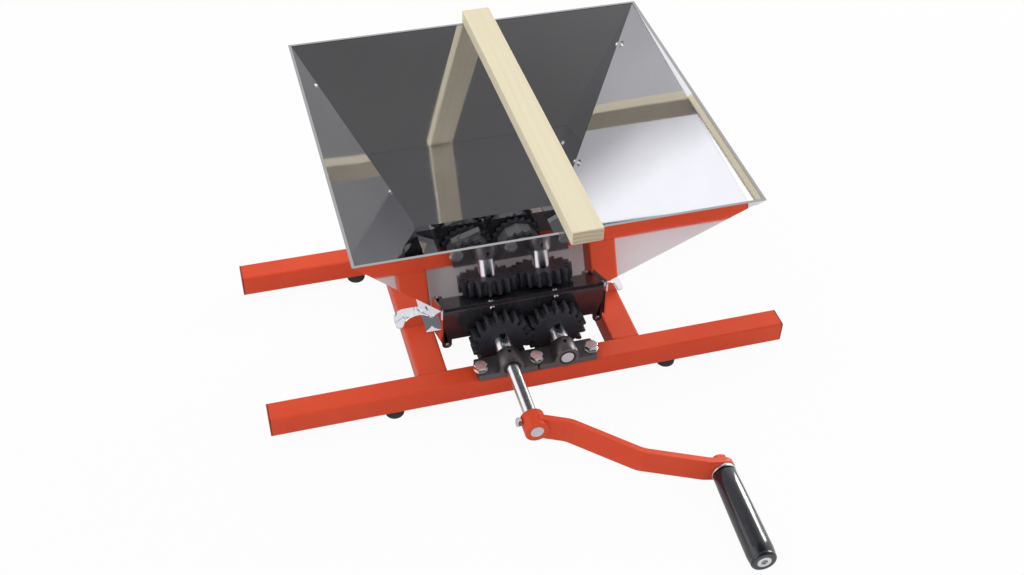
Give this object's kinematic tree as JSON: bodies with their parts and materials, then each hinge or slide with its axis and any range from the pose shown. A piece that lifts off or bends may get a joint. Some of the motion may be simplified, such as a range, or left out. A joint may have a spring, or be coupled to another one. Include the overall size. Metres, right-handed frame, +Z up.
{
  "type": "hand-cranked fruit crusher",
  "caption": "Fruit crusher: an open funnel hopper of polished sheet over a pair of geared toothed rollers, turned by a hand crank, on a painted tube frame with a loose wooden pusher.",
  "frame": {"origin": "on the surface the feet stand on, in the middle of the feet", "axes": "+X to the right as seen from the crank, +Y to the rear along the roller shafts, +Z up"},
  "size_m": [0.45, 0.4629, 0.2325],
  "materials": {
    "orange_paint": "orange-red gloss coating",
    "foot_rubber": "matt grey-black",
    "zinc_screws": "bright zinc",
    "polished_sheet": "mirror-polished stainless sheet",
    "black_plate": "black semi-gloss",
    "block_iron": "dark casting with dressed bosses",
    "bush_iron": "sintered iron, oil-dark",
    "shaft_steel": "ground bright",
    "gear_iron": "near-black, oiled",
    "disc_iron": "black",
    "drum_metal": "dull dark grey",
    "blade_steel": "bright edge",
    "grip_plastic": "black gloss",
    "pale_wood": "pale, planed, unvarnished"
  },
  "bodies": {
    "frame": {"front_beam": "orange_paint", "rear_beam": "orange_paint", "left_cross_member": "orange_paint", "right_cross_member": "orange_paint", "beam_end_plates": "orange_paint", "rubber_feet": "foot_rubber", "foot_screws": "zinc_screws", "skirt_screws": "zinc_screws", "flange_bolts": "zinc_screws", "flange_washers": "zinc_screws", "block_bolts": "zinc_screws", "block_washers": "zinc_screws", "hopper_rivets": "zinc_screws", "side_skirt_rivets": "zinc_screws", "tie_rods": "zinc_screws", "deflector_rivets": "zinc_screws", "hopper_front_wall": "polished_sheet", "hopper_rear_wall": "polished_sheet", "hopper_left_wall": "polished_sheet", "hopper_right_wall": "polished_sheet", "left_side_plate": "polished_sheet", "right_side_plate": "polished_sheet", "left_deflector": "polished_sheet", "right_deflector": "polished_sheet", "housing_front_plate": "black_plate", "housing_rear_plate": "black_plate", "bearing_block": "block_iron", "block_bushes": "bush_iron", "front_plate_bushes": "bush_iron", "rear_plate_bushes": "bush_iron"},
    "drive_train": {"drive_shaft": "shaft_steel", "drive_shaft_ring": "shaft_steel", "drive_gear": "gear_iron", "drive_gear_key": "gear_iron", "drive_roller_discs": "disc_iron", "drive_roller_drums": "drum_metal", "feeder_blade": "blade_steel", "feeder_blade_screw": "zinc_screws", "crank_hub": "orange_paint", "crank_set_screw": "zinc_screws", "crank_arm": "orange_paint", "handle_bolt": "zinc_screws", "handle_nut": "orange_paint", "handle_washer": "zinc_screws"},
    "driven_roller": {"driven_shaft": "shaft_steel", "driven_shaft_ring": "shaft_steel", "driven_gear": "gear_iron", "driven_gear_key": "gear_iron", "driven_roller_discs": "disc_iron", "driven_roller_drums": "drum_metal"},
    "grip": {"handle_grip": "grip_plastic"},
    "pusher": {"wooden_pusher": "pale_wood"}
  },
  "joints": [
    {"name": "crank_spin", "type": "hinge", "parent": "frame", "child": "drive_train", "pos_m": [-0.0228, 0, 0.041], "axis": [0, 1, 0], "continuous": true},
    {"name": "driven_spin", "type": "hinge", "parent": "frame", "child": "driven_roller", "pos_m": [0.0252, 0, 0.041], "axis": [0, 1, 0], "continuous": true},
    {"name": "grip_spin", "type": "hinge", "parent": "drive_train", "child": "grip", "pos_m": [0.11776, -0.2243, 0.01112], "axis": [0.0427, 0.999, -0.0091], "continuous": true},
    {"name": "pusher_lift", "type": "slide", "parent": "frame", "child": "pusher", "axis": [0, 0, 1], "range_m": [0, 0.2]}
  ],
  "couplings": [
    {"joint": "driven_spin", "follows": "crank_spin", "ratio": -1}
  ]
}
